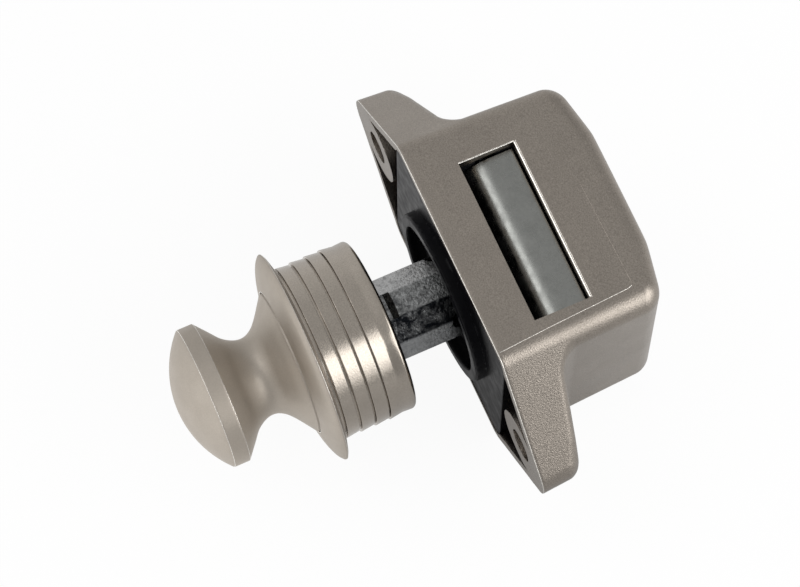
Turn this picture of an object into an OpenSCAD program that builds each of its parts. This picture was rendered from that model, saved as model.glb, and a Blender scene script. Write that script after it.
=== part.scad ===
// Push button cabinet lock, in millimetres, shown unlocked: knob out, bolt drawn in.
// Origin: knob axis where it meets the face that is screwed to the door's inner side.
// X runs through the two screw lugs, Y from the knob into the cabinet, Z is the bolt's way out.

/* [Case] */
// Length of the case at its mounting face, without the lugs
case_len = 36.6; // [34:0.1:42]
// Width of the case at its mounting face, across the bolt's way out
case_wid = 34.0; // [31:0.1:40]
// Depth of the case behind the door
case_depth = 25.4; // [24.5:0.1:30]
// Draft of each side over the whole depth
case_draft = 1.0; // [0.4:0.1:1.2]
// Fall of the back from its flat middle to its shoulders
back_fall = 1.2; // [0.4:0.1:1.6]
// Radius of the long corners and the back edges
edge_r = 3.0; // [2:0.1:3.6]
// Radius of the cast edge where the bolt's face meets the back
back_r = 2.4; // [1.5:0.1:3]

/* [Lugs] */
// Length over both lugs
lug_span = 62.2; // [60:0.1:70]
// Distance between the two screws
screw_pitch = 47.5; // [46:0.1:52]
// Diameter of the screw holes
screw_hole = 4.8; // [4:0.1:5.2]
// Diameter of the boss round each screw hole
screw_boss = 10.5; // [9:0.1:11]
// Thickness of a lug at its tip
lug_tip_t = 6.1; // [4:0.1:7]
// Thickness of a lug where it meets the case
lug_root_t = 7.8; // [6.5:0.1:9]
// Radius of a lug's tip in plan
lug_tip_r = 4.0; // [3:0.1:5]
// Depth of the pocket cast into each lug
pocket_depth = 3.4; // [2:0.1:4]

/* [Front cover] */
// Diameter of the ring that centres the lock in the door hole
ring_d = 25.0; // [24:0.1:25.6]
// Height of the ring above the mounting face
ring_h = 1.5; // [1:0.1:3]
// Bore of the ring round the spindle
ring_bore = 21.4; // [18:0.1:22]
// Thickness of the cover plate
cover_t = 2.6; // [2:0.1:3]

/* [Bolt] */
// Width of the bolt
bolt_w = 24.1; // [22:0.1:25]
// Thickness of the bolt
bolt_t = 7.9; // [7:0.1:8.4]
// Distance of the bolt's front face behind the mounting face
bolt_y = 6.62; // [6.3:0.01:7]
// Offset of the bolt from the knob axis along the lugs
bolt_offset = 0.9; // [0:0.1:1]
// Depth of the bolt's end below the case when drawn in
bolt_recess = 2.0; // [1:0.1:3]
// Radius of the bolt's rounded front edge
bolt_nose_r = 3.0; // [1:0.1:4]

/* [Drive] */
// Travel of the knob from out to fully pressed
knob_travel = 11.0; // [9:0.1:11]
// Bolt movement for each millimetre of knob movement
throw_ratio = 0.85; // [0.7:0.01:0.85]
// Diameter of the cross pin in the bolt
pin_d = 2.0; // [1.8:0.1:2.4]
// Spindle size across its flats
spindle_af = 11.6; // [11:0.1:12]

/* [Knob and rosette] */
// Diameter of the knob's rim
knob_d = 20.3; // [19:0.1:20.5]
// Height of the knob's domed front
dome_h = 4.1; // [2:0.1:5]
// Height of the knob's straight rim
rim_t = 2.28; // [1.5:0.01:2.6]
// Distance of the rim's front edge from the rosette's lip
knob_reach = 12.42; // [12:0.01:16]
// Length of the skirt that slides in the rosette
skirt_len = 11.2; // [9:0.1:12]
// Narrowest diameter of the knob's neck
neck_d = 11.3; // [9:0.1:13]
// Diameter of the rosette's flange
flange_d = 30.5; // [28:0.1:34]
// Height of the rosette's dished flange over the door
lip_h = 2.7; // [2.5:0.1:3.5]
// Diameter over the rosette's barbs
barb_d = 25.2; // [24.6:0.1:25.8]
// Distance between the barbs
barb_pitch = 2.16; // [1.8:0.01:2.2]
// Door thickness that the set is drawn for, under the flange
door_t = 21.3; // [20:0.1:22]

/* [Springs] */
// Outside diameter of the two return springs
spring_d = 2.8; // [2.4:0.1:2.8]
// Wire of the return springs
spring_wire = 0.35; // [0.3:0.05:0.5]
// Turns of each return spring
spring_turns = 13; // [8:1:14]

/* [Hidden] */
eps = 0.05;
fine = 96;
small = 32;
half_len = case_len / 2;
half_wid = case_wid / 2;
wall = 2.2;
throw = knob_travel * throw_ratio;

// Hollow of the case
cav_x = half_len - 1.8;
cav_z = half_wid - wall;
cav_r = 1.5;
cav_depth = case_depth - 3.6;
well_depth = case_depth - 2.0;
seat_x = half_len - 0.85;
seat_z = half_wid - 0.85;
seat_r = edge_r - 0.7;

// Lug outline: a straight taper that touches the case corner and the tip's arc
lug_x = lug_span / 2 - lug_tip_r;
corner_x = half_len - edge_r;
corner_z = half_wid - edge_r;
taper_len = norm([lug_x - corner_x, corner_z]);
taper_n = acos((edge_r - lug_tip_r) / taper_len) - atan2(corner_z, lug_x - corner_x);
lug_fillet = 2.6;
lug_round = 1.8;
pocket_wall = 1.4;
lug_draft = 0.98;
boss_x = screw_pitch / 2;

// Bolt
bolt_l = bolt_offset - bolt_w / 2;
bolt_r = bolt_offset + bolt_w / 2;
bolt_back = bolt_y + bolt_t;
bolt_end = half_wid - case_draft * 0.43 - bolt_recess;
bolt_tail = -half_wid + wall + 0.4;
slot_x_gap = 0.15;
slot_front = bolt_y - 0.08;
slot_back = bolt_back + 0.33;

// Drive: the spindle's two-sided slot carries the bolt's cross pin
flat = spindle_af / 2;
drive_gap = 0.1;
drive_a = atan(throw_ratio);
pin_y = 10.5;
pin_z = -6.3;
slot_half = (pin_d / 2 + drive_gap) / cos(drive_a);
arm = 2.3;
mouth_y = pin_y + 1.2;
leg_in = flat + 0.5;
head_z = pin_z + throw_ratio * (pin_y - bolt_y) + slot_half + arm + 0.3;
shoulder_y = 4.4;
shoulder_z = flat + 2.4;
web_back = 3.4;

// Return springs on guide rods, beside the bolt
spring_x = 14.45;
spring_y = bolt_y + bolt_t / 2;
rod_r = 0.6;
ear_t = 2.0;
rail_z = cav_z - 0.05;
rail_front = bolt_y - 1.6;
rail_back = bolt_back + 1.9;
channel_half = 1.55;

// Latch: a wire follower in a heart-shaped track on the back of the bolt
latch_x = 9.6;
latch_top = -0.5;
wire_r = 0.5;
track_depth = 1.3;
latch_pivot_z = 11.3;
latch_swing = 1.85;
latch_y = bolt_back + 1.75;
plate_t = 2.0;
plate_top = 4.2;
peg_r = 0.9;
peg_len = 1.6;
peg_z = [latch_top - throw - 2.35, plate_top - 1.9];
leaf_z = -10.0;
leaf_y = latch_y + 3.2;

// Knob and rosette, worked out from the door thickness
flange_back = -door_t;
lip_y = flange_back - lip_h;
barb_r = barb_d / 2;
rim_y = lip_y - knob_reach;
skirt_r = 10.3;
skirt_end = lip_y + skirt_len;
hub_r = 7.8;
spindle_end = lip_y + 1.5;
knob_pin_y = lip_y + skirt_len * 0.536;
washer_r = skirt_r - 0.9;
ring_y = lip_y + 1.6;
lip_bore = skirt_r + 0.08;

cast_grey = [0.60, 0.57, 0.54];
nickel = [0.66, 0.63, 0.60];
raw_zinc = [0.52, 0.53, 0.53];
steel = [0.62, 0.63, 0.64];
black = [0.06, 0.06, 0.07];
acetal = [0.85, 0.84, 0.80];

// Rounds and helpers

module along_y(y0, y1, r, n = fine) {
    translate([0, y0, 0])
        rotate([-90, 0, 0])
            cylinder(h = y1 - y0, r = r, $fn = n);
}

module along_x(x0, x1, r, n = small) {
    translate([x0, 0, 0])
        rotate([0, 90, 0])
            cylinder(h = x1 - x0, r = r, $fn = n);
}

// A box given by its two corners
module span_box(a, b) {
    translate(a)
        cube(b - a);
}

// A plan drawn as [x, z], raised from y0 to y1
module plan_y(y0, y1, draft = 1) {
    translate([0, y0, 0])
        rotate([-90, 0, 0])
            linear_extrude(height = y1 - y0, scale = draft)
                mirror([0, 1])
                    children();
}

// A side view drawn as [y, z], run from x0 to x1
module side_x(x0, x1) {
    translate([x0, 0, 0])
        rotate([90, 0, 90])
            linear_extrude(height = x1 - x0)
                children();
}

// A profile drawn as [r, y], turned about the knob axis
module turned(points, n = fine) {
    rotate([-90, 0, 0])
        rotate_extrude($fn = n)
            polygon(points);
}

// Ten-sided bar with a flat towards +Z and one towards -Z
module sided_bar(y0, y1, af) {
    translate([0, y0, 0])
        rotate([-90, 0, 0])
            cylinder(h = y1 - y0, r = af / 2 / cos(18), $fn = 10);
}

function arc(cx, cy, r, a0, a1, n = 8) =
    [for (i = [0 : n]) [cx + r * cos(a0 + (a1 - a0) * i / n), cy + r * sin(a0 + (a1 - a0) * i / n)]];

// Rounded rectangle in plan, from its half sizes
function round_rect(hx, hz, r, n = 6) =
    concat(arc(hx - r, hz - r, r, 0, 90, n), arc(r - hx, hz - r, r, 90, 180, n),
           arc(r - hx, r - hz, r, 180, 270, n), arc(hx - r, r - hz, r, 270, 360, n));

// Housing

// Outer block: upright corners at the mounting face, ball corners at the back
module case_block() {
    back_x = half_len - case_draft;
    back_z = half_wid - case_draft;
    hull() {
        for (sx = [-1, 1])
            for (sz = [-1, 1]) {
                translate([sx * (half_len - edge_r), 0, sz * (half_wid - edge_r)])
                    along_y(0, 0.1, edge_r, 48);
                translate([sx * (back_x - edge_r), case_depth - back_fall - back_r,
                           sz * (back_z - edge_r)])
                    rotate([-90, 0, 0])
                        cushion_disc();
                translate([sx * 8.3, case_depth - back_r, sz * (back_z - edge_r)])
                    rotate([-90, 0, 0])
                        cushion_disc();
            }
    }
}

// A disc with a rounded upper rim, the corner of the hull
module cushion_disc() {
    rotate_extrude($fn = 48)
        polygon(concat([[0, 0]], arc(edge_r - back_r, 0, back_r, 0, 90, 6), [[0, back_r]]));
}

// Point just short of where the taper touches the case corner
function taper_end(r, s) = [corner_x + r * cos(taper_n) - 0.3 * sin(taper_n),
                            s * (corner_z + r * sin(taper_n) + 0.3 * cos(taper_n))];

function lug_outline(inset) =
    concat([[corner_x - 2.7, inset - corner_z], taper_end(edge_r - inset, -1)],
           arc(lug_x, 0, lug_tip_r - inset, -taper_n, taper_n, 10),
           [taper_end(edge_r - inset, 1), [corner_x - 2.7, corner_z - inset]]);

// Side view of a lug as [x, y], with a sloped back and a fillet into the case
module lug_side() {
    tip = lug_span / 2;
    end_x = half_len - case_draft * lug_root_t / case_depth;
    low = [tip - lug_round, lug_tip_t - lug_round];
    high = [end_x + lug_fillet, lug_root_t + lug_fillet];
    back_a = atan2(high[1] - low[1], high[0] - low[0]) - acos((lug_round + lug_fillet) / norm(high - low));
    polygon(concat([[half_len - 6, 0], [tip + 1, 0], [tip + 1, low[1]]],
                   arc(low[0], low[1], lug_round, 0, back_a, 5),
                   arc(high[0], high[1], lug_fillet, back_a + 180, 180, 6),
                   [[half_len - 6, high[1]]]));
}

module lug() {
    intersection() {
        plan_y(0, 12, lug_draft)
            polygon(lug_outline(0));
        translate([0, 0, -half_wid])
            linear_extrude(height = case_wid)
                lug_side();
    }
}

// Pocket in the lug's mounting face, round the screw boss
module lug_pocket() {
    translate([0, -1, 0])
        difference() {
            union() {
                intersection() {
                    plan_y(0, pocket_depth + 1)
                        polygon(lug_outline(pocket_wall));
                    span_box([half_len - 0.1, 0, -half_wid], [lug_x + 1.2, 9, half_wid]);
                }
                // The cover's seat runs out into the pocket
                intersection() {
                    plan_y(0, cover_t + 1)
                        polygon(lug_outline(pocket_wall));
                    span_box([seat_x - 0.3, 0, -half_wid], [half_len, 9, half_wid]);
                }
            }
            translate([boss_x, 0, 0])
                along_y(-1, 9, screw_boss / 2, fine);
        }
}

module screw_way() {
    translate([boss_x, 0, 0]) {
        along_y(-1, 12, screw_hole / 2, fine);
        along_y(lug_tip_t + 0.1, 14, screw_hole / 2 + 1.6, fine);
    }
}

module case_hollow() {
    plan_y(-1, cav_depth)
        polygon(round_rect(cav_x, cav_z, cav_r));
    span_box([-leg_in - 0.4, 0, -cav_z], [leg_in + 0.4, well_depth, cav_z - 6]);
    plan_y(-1, cover_t)
        polygon(round_rect(seat_x, seat_z, seat_r));
}

// Cast ribs and bosses inside the case
module case_inner() {
    for (s = [-1, 1])
        for (z = [-11, 8])
            span_box([s > 0 ? 12.7 : -half_len + 1, rail_back + 0.03, z],
                     [s > 0 ? half_len - 1 : -12.7, cav_depth + 0.4, z + 3]);
    translate([latch_x, 0, latch_pivot_z])
        along_y(latch_y + 1.1, cav_depth + 0.4, 1.9, small);
    translate([latch_x, 0, leaf_z])
        along_y(leaf_y + 0.35, cav_depth + 0.4, 2.3, small);
}

module bolt_slot() {
    span_box([bolt_l - slot_x_gap, slot_front, cav_z - 1], [bolt_r + slot_x_gap, slot_back, half_wid + 1]);
    // Broken edge along the slot's back, about as wide as in the photo
    side_x(bolt_l - slot_x_gap, bolt_r + slot_x_gap)
        polygon([[slot_back - 0.1, half_wid - 1.1], [slot_back + 0.5, half_wid - 0.4],
                 [slot_back + 0.5, half_wid + 0.3], [slot_back - 0.1, half_wid + 0.3]]);
}

module housing() {
    color(cast_grey)
        difference() {
            union() {
                difference() {
                    union() {
                        case_block();
                        lug();
                        mirror([1, 0, 0])
                            lug();
                    }
                    case_hollow();
                }
                case_inner();
            }
            for (m = [0, 1])
                mirror([m, 0, 0]) {
                    lug_pocket();
                    screw_way();
                }
            bolt_slot();
            // Blind holes for the latch wire, the leaf screw and the spring rods
            translate([latch_x, 0, latch_pivot_z])
                along_y(latch_y, latch_y + 5, wire_r + 0.05, small);
            translate([latch_x, 0, leaf_z])
                along_y(leaf_y, leaf_y + 5.2, 0.98, small);
            for (s = [-1, 1])
                translate([s * spring_x, spring_y, -cav_z - 0.6])
                    cylinder(h = 2 * cav_z + 1.2, r = rod_r + 0.03, $fn = small);
        }
}

// Front cover with the centring ring

module front_cover() {
    color(black)
        difference() {
            union() {
                plan_y(0.1, cover_t)
                    polygon(round_rect(seat_x - 0.05, seat_z - 0.05, seat_r));
                turned([[ring_bore / 2 - 1, web_back], [ring_bore / 2 - 1, 0],
                        [ring_bore / 2 - 1, -ring_h + 0.3], [ring_bore / 2 + 0.3, -ring_h],
                        [ring_d / 2 - 0.4, -ring_h], [ring_d / 2, -ring_h + 0.4],
                        [ring_d / 2, 0.3], [ring_bore / 2 + 0.3, 0.3], [ring_bore / 2 + 0.3, web_back]]);
                along_y(0.4, web_back, ring_bore / 2 + 0.3);
                // Legs that hold the guide rails back against the case ribs
                for (sx = [-1, 1])
                    for (z = [-11, 8])
                        span_box([sx > 0 ? 13.2 : -cav_x + 0.15, cover_t - eps, z],
                                 [sx > 0 ? cav_x - 0.15 : -13.2, rail_front - 0.02, z + 3]);
            }
            along_y(-ring_h - 1, 0.4, ring_bore / 2);
            sided_bar(-1, web_back + 1, spindle_af + 0.16);
        }
}

module stop_washer() {
    color(black)
        difference() {
            along_y(web_back, shoulder_y - 0.02, washer_r);
            sided_bar(0, shoulder_y + 1, spindle_af + 0.6);
        }
}

// Guide rails for the bolt, with a channel for the return spring

// Section as [x, y] of the rail whose inner face stands at x
module rail_section(x) {
    difference() {
        union() {
            translate([x, rail_front])
                square([cav_x - 0.05 - x, rail_back - rail_front]);
            translate([x - 1.6, rail_front])
                square([1.7, bolt_y - 0.1 - rail_front]);
            translate([x - 0.7, bolt_back + 0.1])
                square([0.8, rail_back - bolt_back - 0.1]);
        }
        translate([x - 2, spring_y - channel_half])
            square([cav_x - 0.55 - x + 2, 2 * channel_half]);
    }
}

module guide_rail(x) {
    color(acetal)
        intersection() {
            translate([0, 0, -rail_z])
                linear_extrude(height = 2 * rail_z)
                    rail_section(x);
            plan_y(0, case_depth)
                polygon(round_rect(cav_x - 0.05, rail_z, cav_r));
        }
}

module guide_rail_right() {
    guide_rail(bolt_r + 0.12);
}

module guide_rail_left() {
    mirror([1, 0, 0])
        guide_rail(0.12 - bolt_l);
}

module guide_rod(s) {
    color(steel)
        translate([s * spring_x, spring_y, -cav_z - 0.5])
            cylinder(h = 2 * cav_z + 1, r = rod_r, $fn = small);
}

module guide_rod_left() {
    guide_rod(-1);
}

module guide_rod_right() {
    guide_rod(1);
}

// Bolt

// Side view of the bolt as [y, z], its front edge rounded for closing
module bolt_side(z0) {
    polygon(concat([[bolt_y, z0], [bolt_back, z0], [bolt_back, bolt_end - 0.4],
                    [bolt_back - 0.4, bolt_end]],
                   arc(bolt_y + bolt_nose_r, bolt_end - bolt_nose_r, bolt_nose_r, 90, 180, 12)));
}

// Heart-shaped track as [x, z]. The follower runs down its left side while the knob goes in,
// rests in the island's notch while the knob is held, and comes back up the right side.
module heart_track() {
    top = latch_top;
    low = latch_top - throw;
    held = low + 0.7;
    way = 0.7;
    slope = latch_swing / throw;
    flank = 0.68;
    difference() {
        polygon([[-0.4, top + 0.75], [0.4, top + 0.75], [0.75, top + 0.4], [0.75, top - 1.2],
                 [2.5, top - 4.2], [2.5, low - 0.3], [2.1, low - way], [-latch_swing - 0.3, low - way],
                 [-latch_swing - way, low - 0.3], [-way - 0.05, top + 0.2]]);
        polygon([[0.15, top - 3.0], [1.15, top - 4.6], [1.15, held - 0.05], [0.8, held - 0.05],
                 [0.05, held + 0.55], [-0.7, held - 0.05], [flank - latch_swing + 0.13, held - 0.05],
                 [flank - slope * 3.4, top - 3.4]]);
    }
}

module bolt() {
    color(raw_zinc)
        difference() {
            union() {
                side_x(bolt_l, bolt_r)
                    bolt_side(bolt_tail);
                span_box([-spring_x - 1.25, spring_y - 1.4, bolt_tail],
                         [spring_x + 1.25, spring_y + 1.4, bolt_tail + ear_t]);
            }
            // The gap between the legs, where the spindle's fork passes
            span_box([-leg_in, bolt_y - 1, bolt_tail - 1], [leg_in, bolt_back + 1, head_z]);
            // Shelf and peg holes for the track plate
            span_box([leg_in - 1, bolt_back - plate_t - 0.02, bolt_tail - 1],
                     [bolt_r + 1, bolt_back + 1, plate_top + 0.05]);
            for (z = peg_z)
                translate([latch_x, 0, z])
                    along_y(bolt_back - plate_t - peg_len - 0.1, bolt_back, peg_r + 0.02, small);
            translate([0, pin_y, pin_z])
                along_x(bolt_l + 0.8, bolt_r + 1, pin_d / 2);
            for (s = [-1, 1])
                translate([s * spring_x, spring_y, bolt_tail - 1])
                    cylinder(h = 4, r = rod_r + 0.15, $fn = small);
        }
}

// Moulded plate on the back of the bolt's right leg, with the latch's track
module track_plate() {
    color(acetal)
        difference() {
            union() {
                span_box([leg_in, bolt_back - plate_t, bolt_tail], [bolt_r, bolt_back, plate_top]);
                for (z = peg_z)
                    translate([latch_x, 0, z])
                        along_y(bolt_back - plate_t - peg_len, bolt_back - eps, peg_r, small);
            }
            translate([latch_x, bolt_back - track_depth, 0])
                plan_y(0, track_depth + 1)
                    heart_track();
        }
}

module bolt_cross_pin() {
    color(steel)
        translate([0, pin_y, pin_z])
            along_x(bolt_l + 0.8, bolt_r - 0.1, pin_d / 2);
}

// Return springs: each is one tube along a helix

coil_r = (spring_d - spring_wire) / 2;
coil_low = bolt_tail + ear_t + spring_wire / 2 + 0.01;
coil_high = cav_z - spring_wire / 2 - 0.01;
coil_steps = 8 * spring_turns;

function coil_at(i) = [coil_r * cos(45 * i), coil_r * sin(45 * i),
                       coil_low + (coil_high - coil_low) * i / coil_steps];

// Ring of six points round the wire at step i
function wire_ring(i) = let (c = coil_at(i), out = [cos(45 * i), sin(45 * i), 0])
    [for (k = [0 : 5]) c + spring_wire / 2 * (cos(60 * k) * out + sin(60 * k) * [0, 0, 1])];

// Least distance between two turns, less the wire
coil_gap = min([for (i = [0 : coil_steps - 8]) for (j = [6 : 10])
                if (i + j <= coil_steps) norm(coil_at(i + j) - coil_at(i))]) - spring_wire;
echo(least_gap_between_spring_turns_mm = coil_gap);

module return_spring(s) {
    rings = [for (i = [0 : coil_steps]) for (p = wire_ring(i)) p];
    last = 6 * coil_steps;
    sides = [for (i = [0 : coil_steps - 1]) for (k = [0 : 5]) for (t = [0, 1])
             let (a = 6 * i + k, b = 6 * i + (k + 1) % 6)
             t == 0 ? [a, b, b + 6] : [a, b + 6, a + 6]];
    ends = [for (k = [1 : 4]) for (t = [0, 1])
            t == 0 ? [0, k + 1, k] : [last, last + k, last + k + 1]];
    color(steel)
        translate([s * spring_x, spring_y, 0])
            polyhedron(points = rings, faces = concat(sides, ends));
}

module return_spring_left() {
    return_spring(-1);
}

module return_spring_right() {
    return_spring(1);
}

// Spindle: one casting of shaft and fork

function fork_mid(y) = pin_z + throw_ratio * (pin_y - y);

module spindle() {
    low_y = pin_y + (pin_z + slot_half * -1 - 2.6 + shoulder_z) / throw_ratio;
    top_y = pin_y + (pin_z + slot_half + arm - flat) / throw_ratio;
    color(raw_zinc)
        difference() {
            union() {
                sided_bar(spindle_end, mouth_y, spindle_af);
                side_x(-flat, flat)
                    polygon([[shoulder_y, -flat + 1], [shoulder_y, -shoulder_z], [low_y, -shoulder_z],
                             [mouth_y, fork_mid(mouth_y) - slot_half - 2.6], [mouth_y, -flat + 1]]);
            }
            // Sloped top that clears the bolt's head on the way in
            side_x(-flat - 1, flat + 1)
                polygon([[top_y, flat], [mouth_y + 1, fork_mid(mouth_y + 1) + slot_half + arm],
                         [mouth_y + 1, flat + 2], [top_y - 0.5, flat + 2], [top_y - 0.5, flat]]);
            // Inclined slot, open at the back so that the cross pin can be entered
            translate([0, pin_y - knob_travel, fork_mid(pin_y - knob_travel)]) {
                along_x(-flat - 1, flat + 1, pin_d / 2 + drive_gap);
                rotate([-drive_a, 0, 0])
                    translate([-flat - 1, 0, -pin_d / 2 - drive_gap])
                        cube([2 * flat + 2, 24, pin_d + 2 * drive_gap]);
            }
            translate([0, knob_pin_y, 0])
                along_x(-flat - 1, flat + 1, 1.0);
            // Step with a sloped end cast into the flat that faces the bolt's way out
            side_x(-flat * 0.33, flat * 0.33)
                polygon([[skirt_end + 0.3, flat - 0.7], [skirt_end + 3.1, flat - 0.7], [skirt_end + 3.9, flat],
                         [skirt_end + 3.9, flat + 1], [skirt_end + 0.3, flat + 1]]);
        }
}

// Knob

module knob() {
    rim_r = knob_d / 2;
    neck_r = neck_d / 2;
    dome_r = (rim_r * rim_r + dome_h * dome_h) / 2 / dome_h;
    dome_a = asin((rim_r - 0.25) / dome_r);
    rim_back = rim_y + rim_t;
    outline = concat([for (i = [0 : 16]) let (a = dome_a * i / 16)
                      [dome_r * sin(a), rim_y - dome_h + dome_r * (1 - cos(a))]],
                     [[rim_r, rim_y + 0.15], [rim_r - 0.05, rim_back - 0.2], [rim_r - 0.25, rim_back],
                      [rim_r - 1.15, rim_back + 1.2], [neck_r + 2.1, rim_back + 2.05],
                      [neck_r + 1.15, rim_back + 2.75], [neck_r + 0.4, rim_back + 3.7],
                      [neck_r + 0.05, rim_back + 4.8], [neck_r, rim_back + 5.6],
                      [neck_r + 0.1, rim_back + 6.5], [neck_r + 0.75, rim_back + 7.6],
                      [neck_r + 2.0, rim_back + 8.8], [neck_r + 3.4, rim_back + 9.6],
                      [skirt_r - 0.3, rim_back + 9.95], [skirt_r, lip_y + 0.4],
                      [skirt_r, skirt_end], [skirt_r - 1.2, skirt_end],
                      [skirt_r - 1.2, lip_y + 3.0], [hub_r, lip_y + 3.0], [hub_r, skirt_end - 0.6],
                      [0, skirt_end - 0.6]]);
    color(nickel)
        difference() {
            turned(outline);
            sided_bar(spindle_end - 0.05, skirt_end, spindle_af);
            translate([0, knob_pin_y, 0]) {
                along_x(-hub_r - 1, hub_r + 1, 1.0);
                for (s = [-1, 1])
                    translate([s * skirt_r, 0, 0])
                        along_x(-1.6, 1.6, 1.3);
            }
            turned([[skirt_r - 0.45, ring_y], [skirt_r + 1, ring_y],
                    [skirt_r + 1, ring_y + 0.8], [skirt_r - 0.45, ring_y + 0.8]]);
        }
}

module knob_pin() {
    color(steel)
        translate([0, knob_pin_y, 0])
            along_x(-hub_r + 0.1, hub_r - 0.1, 1.0);
}

// Split wire ring that keeps the knob in the rosette
module knob_snap_ring() {
    color(steel)
        difference() {
            turned([[skirt_r - 0.4, ring_y + 0.03], [skirt_r + 0.55, ring_y + 0.03],
                    [skirt_r + 0.55, ring_y + 0.77], [skirt_r - 0.4, ring_y + 0.77]]);
            span_box([-1.5, ring_y - 1, -skirt_r - 2], [1.5, ring_y + 2, -skirt_r + 2]);
        }
}

// Rosette

module rosette() {
    rim_r = flange_d / 2;
    dish = rim_r - lip_bore;
    core_r = barb_r - 0.36;
    bands = 4;
    first = flange_back + 0.6;
    last = first + (bands - 1) * barb_pitch;
    tail = last + 4.0;
    // Each barb tapers away from the flange; the last one runs on into the plain tail
    barbs = [for (i = [0 : bands - 2]) for (p = [[barb_r - 0.06, 0], [barb_r, 0.1],
             [barb_r - 0.22, barb_pitch - 0.22], [core_r, barb_pitch - 0.14], [core_r, barb_pitch]])
             [p[0], first + i * barb_pitch + p[1]]];
    color(nickel)
        turned(concat([[lip_bore, lip_y + 0.25], [lip_bore + 0.2, lip_y + 0.05],
                       [lip_bore + 0.1 * dish, lip_y + 0.1], [lip_bore + 0.34 * dish, lip_y + 0.4],
                       [lip_bore + 0.57 * dish, lip_y + 0.8], [lip_bore + 0.74 * dish, lip_y + 1.2],
                       [lip_bore + 0.88 * dish, lip_y + 1.6], [rim_r - 0.1, lip_y + 2.15],
                       [rim_r, flange_back - 0.32], [rim_r - 0.1, flange_back - 0.15],
                       [rim_r - 0.5, flange_back - 0.02], [barb_r + 0.2, flange_back],
                       [core_r, flange_back + 0.06], [core_r, first]],
                      barbs,
                      [[barb_r - 0.06, last], [barb_r, last + 0.1], [barb_r - 0.24, last + 1.7],
                       [barb_r - 0.16, last + 2.5], [barb_r - 0.14, tail - 0.9],
                       [barb_r - 0.3, tail - 0.4], [barb_r - 0.75, tail - 0.1],
                       [skirt_r + 0.72, tail], [skirt_r + 0.65, tail - 0.1],
                       [skirt_r + 0.65, ring_y - 0.05], [lip_bore, ring_y - 0.05]]));
}

// Latch

module latch_follower() {
    color(steel)
        translate([latch_x, 0, 0]) {
            translate([0, 0, latch_pivot_z]) {
                along_y(latch_y, latch_y + 4.4, wire_r, small);
                translate([0, latch_y, 0])
                    sphere(r = wire_r, $fn = small);
            }
            translate([0, latch_y, latch_top])
                cylinder(h = latch_pivot_z - latch_top, r = wire_r, $fn = small);
            translate([0, 0, latch_top]) {
                along_y(bolt_back - track_depth + 0.15, latch_y, wire_r, small);
                translate([0, latch_y, 0])
                    sphere(r = wire_r, $fn = small);
            }
        }
}

// Leaf that presses the follower into the track
module latch_leaf() {
    t = 0.35;
    touch = latch_y + wire_r + 0.02;
    color(steel)
        difference() {
            side_x(latch_x - 1.6, latch_x + 1.6)
                polygon([[leaf_y, leaf_z - 2.4], [leaf_y, leaf_z + 2.6], [touch, 4.0], [touch + 0.7, 6.5],
                         [touch + 0.7 + t, 6.5], [touch + t, 4.0 - 0.1], [leaf_y + t, leaf_z + 2.6],
                         [leaf_y + t, leaf_z - 2.4]]);
            translate([latch_x, 0, leaf_z])
                along_y(leaf_y - 1, leaf_y + 1, 1.05, small);
        }
}

module leaf_screw() {
    color(steel)
        translate([latch_x, 0, leaf_z])
            difference() {
                union() {
                    along_y(leaf_y - 1.2, leaf_y, 1.9, small);
                    along_y(leaf_y - 0.1, leaf_y + 4.6, 0.95, small);
                }
                span_box([-0.25, leaf_y - 2, -2.5], [0.25, leaf_y - 0.7, 2.5]);
            }
}

housing();
front_cover();
stop_washer();
guide_rail_left();
guide_rail_right();
guide_rod_left();
guide_rod_right();
bolt();
bolt_cross_pin();
track_plate();
return_spring_left();
return_spring_right();
spindle();
knob();
knob_pin();
knob_snap_ring();
rosette();
latch_follower();
latch_leaf();
leaf_screw();
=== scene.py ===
import math

import bpy
import numpy as np
from mathutils import Matrix, Vector


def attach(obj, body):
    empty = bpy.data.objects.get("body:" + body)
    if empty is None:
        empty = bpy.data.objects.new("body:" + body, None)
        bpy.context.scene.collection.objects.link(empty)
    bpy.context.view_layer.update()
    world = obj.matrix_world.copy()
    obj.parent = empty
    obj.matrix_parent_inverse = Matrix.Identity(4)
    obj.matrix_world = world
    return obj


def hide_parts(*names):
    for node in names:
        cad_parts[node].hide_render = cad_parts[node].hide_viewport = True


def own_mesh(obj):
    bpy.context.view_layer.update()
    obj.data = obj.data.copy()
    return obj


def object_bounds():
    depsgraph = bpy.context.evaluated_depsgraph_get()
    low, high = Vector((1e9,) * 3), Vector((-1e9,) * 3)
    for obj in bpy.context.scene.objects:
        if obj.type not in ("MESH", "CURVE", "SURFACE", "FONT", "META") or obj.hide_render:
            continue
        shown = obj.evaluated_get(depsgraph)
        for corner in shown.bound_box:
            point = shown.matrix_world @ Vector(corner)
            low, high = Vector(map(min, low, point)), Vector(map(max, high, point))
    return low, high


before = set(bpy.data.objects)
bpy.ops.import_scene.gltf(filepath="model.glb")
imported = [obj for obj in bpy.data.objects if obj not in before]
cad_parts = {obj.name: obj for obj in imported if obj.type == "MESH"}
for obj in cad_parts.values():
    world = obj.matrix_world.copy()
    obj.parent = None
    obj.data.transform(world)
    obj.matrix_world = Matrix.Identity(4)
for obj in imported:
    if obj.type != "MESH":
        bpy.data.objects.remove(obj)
cad_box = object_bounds()
scene = bpy.context.scene
MM = 0.001

# Camera: position in millimetres, then azimuth, elevation, roll and the focal length in pixels
CAM_AT = (151.4, -73.5, 501.8)
CAM_AZ, CAM_EL, CAM_ROLL = math.radians(66.36), math.radians(71.45), math.radians(-0.69)
CAM_F, FRAME_W, SENSOR_W = 3842.0, 800, 36.0


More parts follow.
